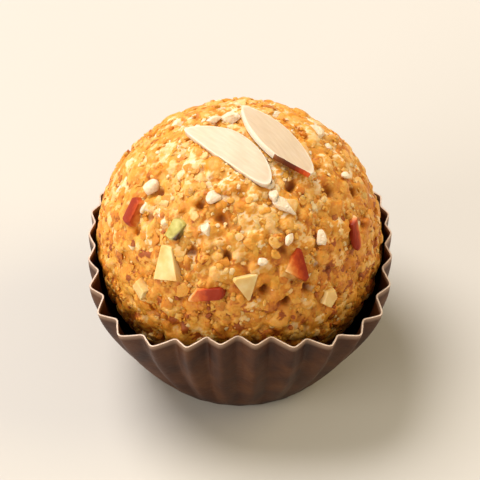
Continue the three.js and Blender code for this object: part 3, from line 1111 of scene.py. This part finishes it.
def cut_almond():
    material, tree = new_material("shaved_almond")
    slow = add_node(tree, "ShaderNodeMath", {0: stored(tree, "along"), 1: 0.15}, operation="MULTIPLY")
    fibre_place = add_node(tree, "ShaderNodeCombineXYZ", {0: slow, 1: stored(tree, "across")})
    fibres = noise_at(tree, fibre_place, 2.4, 4.0)
    flesh = ramp_of(tree, fibres, {0.3: 0xCEB79C, 0.55: 0xD5C0A7, 0.8: 0xDCC9B2})
    # painted highlight: the slice's outline is painted paler, for the light that its cut edge catches
    edge = ranged(tree, stored(tree, "rim"), 0.92, 1.0, 0.0, 0.6)
    finish_material(tree, {
        "Base Color": blended(tree, edge, flesh, 0xF4EADC), "Normal": relief(tree, fibres, 0.25, 0.0001),
        "Roughness": 0.45, "IOR": 1.47, **scattering(0.35, (1.0, 0.75, 0.45), 0.0008),
    })
    return material


SKIN_FROM = 3.2  # mm along the slice from its middle: where its slanting cut and the skin on it begin
SKIN_TO = 7.4


def almond_skin_with_painted_shadow():
    material, tree = new_material("almond_skin_with_painted_shadow")
    along = stored(tree, "along")
    uneven = centred(tree, noise_at(tree, along, 2.0, 3.0), 0.3)
    # the skin's own red-brown, painted much darker in the middle of the cut: painted shadow under the raised
    # end of the slice
    stops = {0.0: 0x8A4A1C, 0.3: 0x5A2208, 0.6: 0x6E1E06, 0.85: 0xD04A18, 1.0: 0xE0602A}
    colour = ramp_of(tree, added(tree, ranged(tree, along, SKIN_FROM, SKIN_TO), uneven), stops)
    finish_material(tree, {"Base Color": colour, "Roughness": 0.4, "IOR": 1.47})
    return material


FLAKE_MATERIALS = [cut_almond(), almond_skin_with_painted_shadow()]


# %% One slice
def flat_flake(spec, length):
    """A slice in its own place, in mm: a grid drawn into the outline, cut slanting at one side, and bent."""
    deselect_all()
    bpy.ops.mesh.primitive_grid_add(x_subdivisions=48, y_subdivisions=12, size=2)
    flake = bpy.context.object
    points = points_of(flake.data)
    x = np.sin(points[:, 0] * math.pi / 2)
    half_width = np.sqrt(np.maximum(0, 1 - x * x)) * taper(x)
    points[:, 0] = x * length / 2
    points[:, 1] *= half_width * spec["width"] / 2
    put_points(flake.data, points)
    edit_all()
    if spec["cut"]:
        plane = (2 / length, -spec["cut"] * 2 / spec["width"], 0)
        bpy.ops.mesh.bisect(plane_co=(length / 2, 0, 0), plane_no=plane, clear_outer=True)
        bpy.ops.mesh.select_all(action="SELECT")
    bpy.ops.mesh.remove_doubles(threshold=FLAKE_FINEST)
    bpy.ops.object.mode_set(mode="OBJECT")
    points = points_of(flake.data)
    points[:, 1] += spec["bow"] * (1 - (points[:, 0] * 2 / length) ** 2)
    waves = FLAKE_WAVE * (np.sin(1.1 * points[:, 0] + 0.4) * np.cos(0.9 * points[:, 1]) - FLAKE_SUNK)
    points[:, 2] = waves - points[:, 0] ** 2 / (2 * SLICE_BEND)
    put_points(flake.data, points)
    return flake


def almond_flake(name, spec):
    matrix, length = slice_place(spec)
    flake = flat_flake(spec, length)
    flake.name = name + "_flake"
    modify(flake, "thickness", "SOLIDIFY", thickness=SLICE_THICKNESS, offset=0)
    modify(
        flake, "soft_edge", "BEVEL", width=FLAKE_BEVEL, segments=2, limit_method="ANGLE",
        angle_limit=math.radians(50),
    )
    points = points_of(flake.data)
    x = np.clip(points[:, 0] / (length / 2), -1, 1)
    y = (points[:, 1] - spec["bow"] * (1 - x * x)) / (spec["width"] / 2)
    put_attribute(flake.data, "along", points[:, 0])
    put_attribute(flake.data, "across", points[:, 1])
    put_attribute(flake.data, "rim", np.hypot(x, y / taper(x)))
    flake.data.materials.append(FLAKE_MATERIALS[0])
    if spec["cut"]:
        flake.data.materials.append(FLAKE_MATERIALS[1])
        slant = Vector((2 / length, -spec["cut"] * 2 / spec["width"], 0)).normalized()
        reach = slant.dot(Vector((length / 2, 0, 0))) - FLAKE_BEVEL
        for face in flake.data.polygons:
            middle = face.center.copy()
            middle.y -= spec["bow"] * (1 - (middle.x * 2 / length) ** 2)
            face.material_index = int(face.normal.dot(slant) > 0.5 and middle.dot(slant) > reach)
    put_points(flake.data, moved(points, matrix) * MM)
    return flake


for name, spec in SLICES.items():
    finish_piece(almond_flake(name, spec), [], name, 40)

# %% [markdown]
# ## The paper case
#
# A case like this is stamped from a flat round of brown glassine, which folds its wall in pleats. It is made
# as it is folded: a disc for the floor, whose rim is extruded upwards ring by ring, and each ring is then
# drawn into the pleats. Solidify gives the paper its thickness, and marks the cut edge at the rim, where the
# pale core of the paper shows, made paler still as a painted highlight for the light that the edge catches.
# Just below the rim the brown paper is painted paler too: a painted glow and sheen of light through and on
# it.

# %% The case's finishes
GLASSINE = 0.2  # thickness of the paper, in mm: more than the real one has, so that its edge shows
STEPS_PER_FOLD = 16
WALL_ROWS = 18


def brown_glassine():
    material, tree = new_material("brown_glassine_paper")
    place = place_on(tree)
    paper = ramp_of(tree, noise_at(tree, place, 260.0, 4.0), {0.3: 0x34180A, 0.55: 0x4C2810, 0.8: 0x643C1E})
    # painted light: within a millimetre below the rim the paper is painted paler, a painted glow and sheen
    painted_glow_below_rim = ranged(tree, stored(tree, "below_rim"), 0.15, 1.0, 0.7, 0.0)
    creases = noise_at(tree, place, 700.0, 5.0, Distortion=1.2)
    finish_material(tree, {
        "Base Color": blended(tree, painted_glow_below_rim, paper, 0xB3947E), "Normal": relief(tree, creases, 0.3, 0.0002),
        "Roughness": 0.48, "IOR": 1.45, "Specular IOR Level": 0.3,
    })
    return material


def paper_core_and_painted_highlight():
    material, tree = new_material("paper_edge_with_painted_highlight")
    fibres = noise_at(tree, place_on(tree), 3000.0, 3.0)
    # the pale core of the paper, made paler as a painted highlight for the light that the cut edge catches
    colour = ramp_of(tree, fibres, {0.3: 0xC9AE99, 0.7: 0xE2CFBF})
    finish_material(tree, {"Base Color": colour, "Roughness": 0.6})
    return material


# %% Folding the case
FLOOR_RINGS = (9.0, 11.5, 13.0)  # radii of the floor's rings, in mm: the folds start in the last of them


def fold(angle):
    """The zigzag of the pleats at an angle, from -1 to 1, with folds that are rounded and not all alike."""
    turn = angle / (2 * math.pi) * PLEATS
    shifted = PLEATS * angle + 0.35 * np.sin(3.0 * angle + 1.0) + 0.25 * np.sin(7.0 * angle)
    number = np.round(turn).astype(int) % PLEATS
    uneven = 1 - 0.22 * draw(40 + number)
    return uneven * (np.cos(shifted) + 0.07 * np.cos(3 * shifted)) / 1.07


def pleated_case():
    columns = PLEATS * STEPS_PER_FOLD
    deselect_all()
    bpy.ops.mesh.primitive_circle_add(vertices=columns, radius=1, fill_type="TRIFAN")
    case = bpy.context.object
    case.name = "pleated_glassine_case"
    bpy.ops.object.mode_set(mode="EDIT")
    bpy.ops.mesh.select_mode(type="EDGE")
    bpy.ops.mesh.select_all(action="DESELECT")
    bpy.ops.mesh.select_non_manifold()
    rings = len(FLOOR_RINGS) + WALL_ROWS
    for _ in range(rings):
        bpy.ops.mesh.extrude_region_move(TRANSFORM_OT_translate={"value": (0, 0, 1)})
    bpy.ops.object.mode_set(mode="OBJECT")
    points = points_of(case.data)
    ring = np.round(points[:, 2]).astype(int)
    on_ring = np.hypot(points[:, 0], points[:, 1]) > 0.5
    angle = np.arctan2(points[:, 1], points[:, 0])
    part = np.clip((ring - len(FLOOR_RINGS)) / WALL_ROWS, 0, 1)
    radius, height, pleat = wall_at(angle, part)
    floor_radius = np.array(FLOOR_RINGS + (CASE_BASE,))[np.minimum(ring, len(FLOOR_RINGS))]
    on_floor = ring < len(FLOOR_RINGS)
    radius = np.where(on_floor, floor_radius, radius) + pleat * fold(angle)
    lift = np.where(ring == len(FLOOR_RINGS), 0.05 * (1 + fold(angle)), 0)
    z = GLASSINE / 2 + np.where(on_floor, 0, height * (1 - GLASSINE / CASE_HEIGHT)) + lift
    shaped = np.stack([radius * np.cos(angle), radius * np.sin(angle), z], axis=1)
    shaped[~on_ring] = (0, 0, GLASSINE / 2)
    put_points(case.data, shaped * MM)
    rim = wall_at(angle, 1.0)[1]
    put_attribute(case.data, "below_rim", np.where(on_ring, rim - height, rim))
    case.data.materials.append(brown_glassine())
    case.data.materials.append(paper_core_and_painted_highlight())
    modify(case, "paper_thickness", "SOLIDIFY", thickness=GLASSINE * MM, offset=0, material_offset_rim=1)
    return case


finish_piece(pleated_case(), [], "paper_case", 60)
